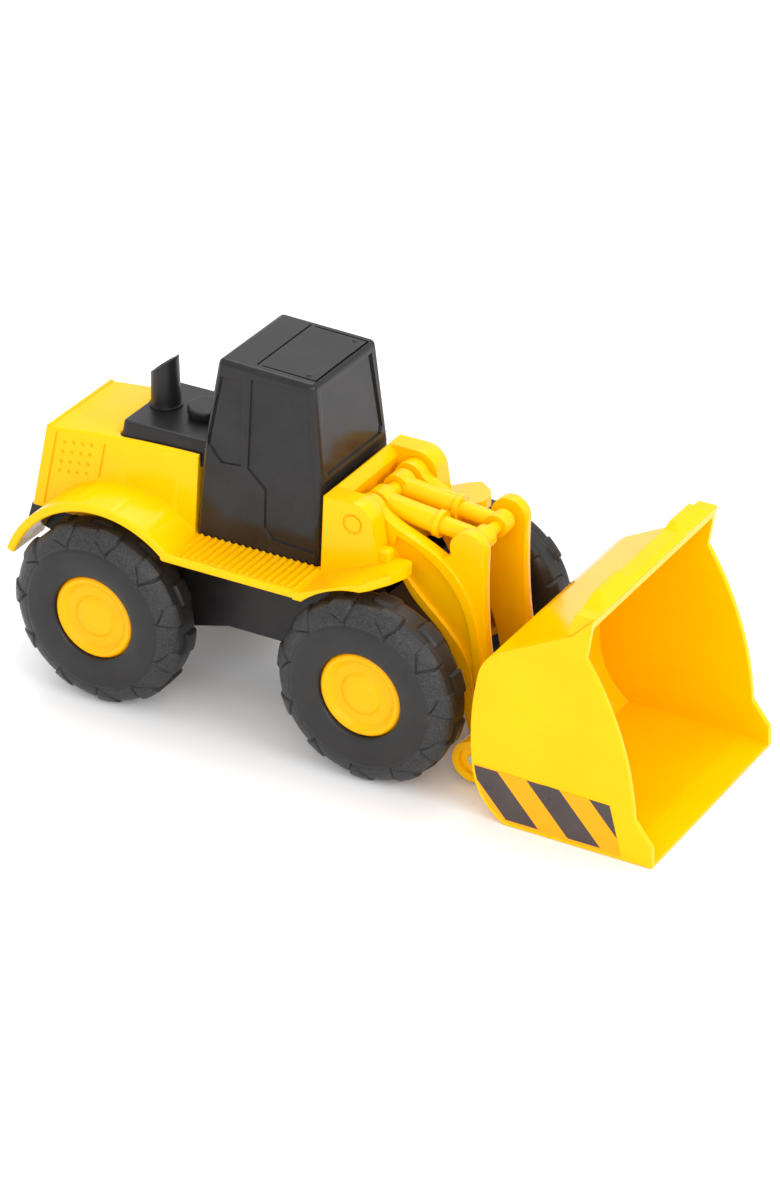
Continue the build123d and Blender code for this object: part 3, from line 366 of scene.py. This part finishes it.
def tyre_section(outer, inner, bore):
    """Points (radius, y) of the casing: hub seat, outer side, shoulder, tread and inner side."""
    crown = TYRE_RADIUS - LUG_HEIGHT
    side = [(bore, inner), (bore, outer - 1.5), (bore + 0.35, outer - 1.0), (bore + 1.0, outer - 0.75)]
    for i in range(10):
        side.append((bore + 2.0 + i * 0.75, outer - 0.55 + 0.55 * math.sin(math.pi * (i + 1) / 12.0)))
    shoulder = [(22.3, outer - 0.45), (23.6, outer - 0.75), (24.9, outer - 1.25), (26.0, outer - 1.9)]
    shoulder += [(26.9, outer - 2.7), (27.6, outer - 3.6), (crown, outer - 4.7)]
    tread = [(crown, outer - 4.7), (crown, inner + 2.6)]
    inside = [(27.8, inner + 1.5), (27.2, inner + 0.7), (26.0, inner + 0.15), (24.5, inner)]
    return side + refined(shoulder, 0.3) + refined(tread, 0.5)[1:] + inside


def smooth_step(value):
    value = min(1.0, max(0.0, value))
    return value * value * (3 - 2 * value)


def lug_relief(radius, across, degrees, outer, inner):
    """Height and groove, each 0 to 1, of V lugs that run from a tip on the shoulder over half the tread."""
    middle = (outer + inner) / 2
    pitch = 360.0 / LUG_COUNT
    outer_half = across > middle
    lead, trail = (LUG_LEAD, LUG_TRAIL) if outer_half else (LUG_TRAIL, LUG_LEAD)
    edge_run = outer - across if outer_half else across - inner
    if not outer_half:
        degrees += pitch / 2
    run = max(0.0, radius - LUG_TIP_RADIUS) + max(0.0, edge_run - 1.0) * 0.5
    share = min(1.0, run / LUG_RUN)
    offset = (degrees + pitch / 2 + (lead - trail) / 2) % pitch - pitch / 2 - (lead - trail) / 2
    to_mm = math.radians(radius)
    sides = min(lead * share - offset, trail * share + offset) * to_mm
    inside = min(sides * LUG_SIDE_SLANT, radius - LUG_TIP_RADIUS + 0.2, (abs(across - middle) - 0.4) * 1.5)
    height = smooth_step(inside / 0.5 + 0.2)
    groove = smooth_step(1.0 - abs(inside) / GROOVE_HALF_WIDTH)
    return height, groove


def tread_point(base_radius, across, turn, outer, inner):
    """Radius, place across the tyre and mould grain of one casing point once the lugs are raised on it."""
    place_radius, place_y = base_radius, across
    grain = 0.0
    if base_radius > TREAD_START_RADIUS and across > inner + 0.05:
        height, groove = lug_relief(base_radius, across, turn, outer, inner)
        share = smooth_step((base_radius - 23.5) / 4.2)
        lift = height * LUG_HEIGHT * (0.25 + 0.75 * share) - groove * GROOVE_DEPTH
        place_radius += lift * (0.1 + 0.9 * share)
        place_y += lift * (1.0 - share)
        grain = smooth_step((base_radius - 22.6) / 0.5) * smooth_step((across - (outer - 5.2)) / 1.2)
        grain *= 1.0 - groove
    return min(place_radius, TYRE_RADIUS - 0.02), min(place_y, outer + 0.05), grain


def join_rings(mesh, rings):
    """Closes the casing with one face between each pair of neighbouring points and rings."""
    count = len(rings[0])
    for step, here in enumerate(rings):
        after = rings[(step + 1) % len(rings)]
        for index in range(count):
            other = (index + 1) % count
            mesh.faces.new((here[index], here[other], after[other], after[index]))


def build_tyre(end, side):
    """A tyre with its lugs and grain, in place of the plain CAD tyre."""
    node = f"tyre_{end}_{side}"
    low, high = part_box(node)
    hub_low, hub_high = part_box(f"wheel_hub_{end}_{side}")
    centre_x, centre_z = (low.x + high.x) / 2, (low.z + high.z) / 2
    sign = 1 if side == "left" else -1
    outer = max(abs(low.y), abs(high.y)) / MM - 0.1
    inner = min(abs(low.y), abs(high.y)) / MM
    section = tyre_section(outer, inner, (hub_high.x - hub_low.x) / 2 / MM)
    mesh = bmesh.new()
    grain_layer = mesh.verts.layers.float.new("grain")
    rings = []
    for step in range(TYRE_STEPS):
        turn = 360.0 * step / TYRE_STEPS
        angle = math.radians(turn)
        row = []
        for base_radius, across in section:
            radius, place_y, grain = tread_point(base_radius, across, turn - TYRE_PHASE[end], outer, inner)
            x = centre_x + radius * MM * math.cos(angle)
            z = centre_z + radius * MM * math.sin(angle)
            vertex = mesh.verts.new((x, sign * place_y * MM, z))
            vertex[grain_layer] = grain
            row.append(vertex)
        rings.append(row)
    join_rings(mesh, rings)
    bmesh.ops.recalc_face_normals(mesh, faces=mesh.faces)
    data = bpy.data.meshes.new(f"moulded_{node}")
    mesh.to_mesh(data)
    mesh.free()
    for face in data.polygons:
        face.use_smooth = True
    tyre = bpy.data.objects.new(f"moulded_{node}", data)
    bpy.context.scene.collection.objects.link(tyre)
    data.materials.append(materials["tyre_plastic"])
    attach(tyre, f"{end}_wheels")
    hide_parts(node)


add_camera()
add_studio()
materials = all_materials()
paint_nodes(materials)
for soft_node, edge_width in SOFT_EDGES.items():
    soften_edges(soft_node, edge_width)

for wheel_end in ("front", "rear"):
    for wheel_side in ("left", "right"):
        build_tyre(wheel_end, wheel_side)
